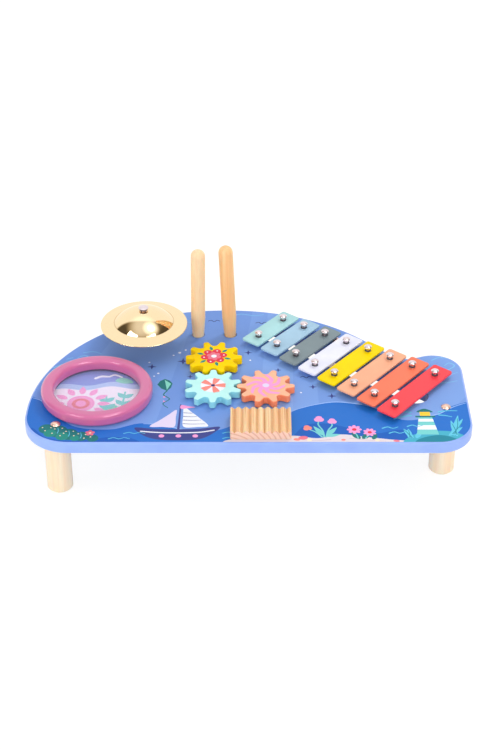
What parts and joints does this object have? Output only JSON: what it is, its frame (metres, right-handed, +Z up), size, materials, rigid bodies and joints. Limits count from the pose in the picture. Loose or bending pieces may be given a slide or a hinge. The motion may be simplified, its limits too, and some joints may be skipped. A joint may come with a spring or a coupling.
{
  "type": "musical activity table",
  "caption": "Low wooden music table for small children: drum, cymbal, meshing gears, scraper, xylophone and two beaters on a rounded board.",
  "frame": {"origin": "on the floor, under the middle of the board's bounding rectangle", "axes": "+X to the right along the board, +Y to the back, +Z up"},
  "size_m": [0.43, 0.24, 0.1797],
  "materials": {
    "painted_board": "satin paint on board, with a printed top",
    "light_wood": "plain sanded",
    "rose_metal": "rose plated, satin",
    "steel": "zinc plated",
    "pink_paint": "satin paint on turned wood",
    "clear_film": "clear, glossy",
    "brass": "polished",
    "chrome": "bright",
    "felt": "soft",
    "dark_plastic": "smooth, dark blue",
    "nylon": "smooth",
    "clear_bush": "milky, soft",
    "teal_paint": "satin paint on wood",
    "yellow_paint": "satin paint on wood",
    "orange_paint": "satin paint on wood",
    "bar_mint_enamel": "satin enamel",
    "bar_light_blue_enamel": "satin enamel",
    "bar_grey_green_enamel": "satin enamel",
    "bar_white_enamel": "satin enamel",
    "bar_yellow_enamel": "satin enamel",
    "bar_peach_enamel": "satin enamel",
    "bar_orange_enamel": "satin enamel",
    "bar_red_enamel": "satin enamel"
  },
  "bodies": {
    "table": {"tabletop": "painted_board", "leg_bolts": "rose_metal", "leg_inserts": "steel", "drum_ring": "pink_paint", "drum_hoop": "dark_plastic", "drum_skin": "clear_film", "drum_screws": "steel", "guiro_block": "light_wood", "guiro_screws": "steel", "cymbal_post": "light_wood", "cymbal_bolt": "chrome", "cymbal_nut": "steel", "cymbal_nut_washer": "steel", "gear_spacers": "nylon", "bar_bushes": "clear_bush", "bar_screws": "chrome", "leg_front_left": "light_wood", "leg_right": "light_wood", "leg_rear_left": "light_wood", "leg_rear_right": "light_wood"},
    "cymbal_washer": {"cymbal_washer": "felt"},
    "cymbal": {"cymbal": "brass"},
    "gear_teal": {"gear_teal": "teal_paint", "gear_teal_axle": "light_wood", "gear_teal_washer": "steel", "gear_teal_screw": "steel"},
    "gear_yellow": {"gear_yellow": "yellow_paint", "gear_yellow_axle": "light_wood", "gear_yellow_washer": "steel", "gear_yellow_screw": "steel"},
    "gear_orange": {"gear_orange": "orange_paint", "gear_orange_axle": "light_wood", "gear_orange_washer": "steel", "gear_orange_screw": "steel"},
    "bar_mint": {"bar_mint": "bar_mint_enamel"},
    "bar_light_blue": {"bar_light_blue": "bar_light_blue_enamel"},
    "bar_grey_green": {"bar_grey_green": "bar_grey_green_enamel"},
    "bar_white": {"bar_white": "bar_white_enamel"},
    "bar_yellow": {"bar_yellow": "bar_yellow_enamel"},
    "bar_peach": {"bar_peach": "bar_peach_enamel"},
    "bar_orange": {"bar_orange": "bar_orange_enamel"},
    "bar_red": {"bar_red": "bar_red_enamel"},
    "beater_left": {"beater_left": "light_wood"},
    "beater_right": {"beater_right": "light_wood"}
  },
  "joints": [
    {"name": "cymbal_spin", "type": "hinge", "parent": "table", "child": "cymbal_washer", "pos_m": [-0.1065, 0.054, 0.1137], "axis": [0, 0, 1], "continuous": true},
    {"name": "cymbal_rock", "type": "hinge", "parent": "cymbal_washer", "child": "cymbal", "pos_m": [-0.1065, 0.054, 0.1137], "axis": [1, 0, 0], "range_deg": [-4, 4]},
    {"name": "gear_teal_spin", "type": "hinge", "parent": "table", "child": "gear_teal", "pos_m": [-0.0345, -0.0364, 0.074], "axis": [0, 0, 1], "continuous": true},
    {"name": "gear_yellow_spin", "type": "hinge", "parent": "table", "child": "gear_yellow", "pos_m": [-0.0345, 0.0154, 0.074], "axis": [0, 0, 1], "continuous": true},
    {"name": "gear_orange_spin", "type": "hinge", "parent": "table", "child": "gear_orange", "pos_m": [0.0173, -0.0364, 0.074], "axis": [0, 0, 1], "continuous": true},
    {"name": "bar_mint_lift", "type": "slide", "parent": "table", "child": "bar_mint", "axis": [0, 0, 1], "range_m": [0, 0.0038]},
    {"name": "bar_light_blue_lift", "type": "slide", "parent": "table", "child": "bar_light_blue", "axis": [0, 0, 1], "range_m": [0, 0.0038]},
    {"name": "bar_grey_green_lift", "type": "slide", "parent": "table", "child": "bar_grey_green", "axis": [0, 0, 1], "range_m": [0, 0.0038]},
    {"name": "bar_white_lift", "type": "slide", "parent": "table", "child": "bar_white", "axis": [0, 0, 1], "range_m": [0, 0.0038]},
    {"name": "bar_yellow_lift", "type": "slide", "parent": "table", "child": "bar_yellow", "axis": [0, 0, 1], "range_m": [0, 0.0038]},
    {"name": "bar_peach_lift", "type": "slide", "parent": "table", "child": "bar_peach", "axis": [0, 0, 1], "range_m": [0, 0.0038]},
    {"name": "bar_orange_lift", "type": "slide", "parent": "table", "child": "bar_orange", "axis": [0, 0, 1], "range_m": [0, 0.0038]},
    {"name": "bar_red_lift", "type": "slide", "parent": "table", "child": "bar_red", "axis": [0, 0, 1], "range_m": [0, 0.0038]},
    {"name": "beater_left_lift", "type": "slide", "parent": "table", "child": "beater_left", "axis": [0.0156, -0.0871, 0.9961], "range_m": [0, 0.05]},
    {"name": "beater_right_lift", "type": "slide", "parent": "table", "child": "beater_right", "axis": [-0.0401, -0.0174, 0.999], "range_m": [0, 0.05]}
  ],
  "couplings": [
    {"joint": "gear_yellow_spin", "follows": "gear_teal_spin", "ratio": -1},
    {"joint": "gear_orange_spin", "follows": "gear_teal_spin", "ratio": -1}
  ]
}
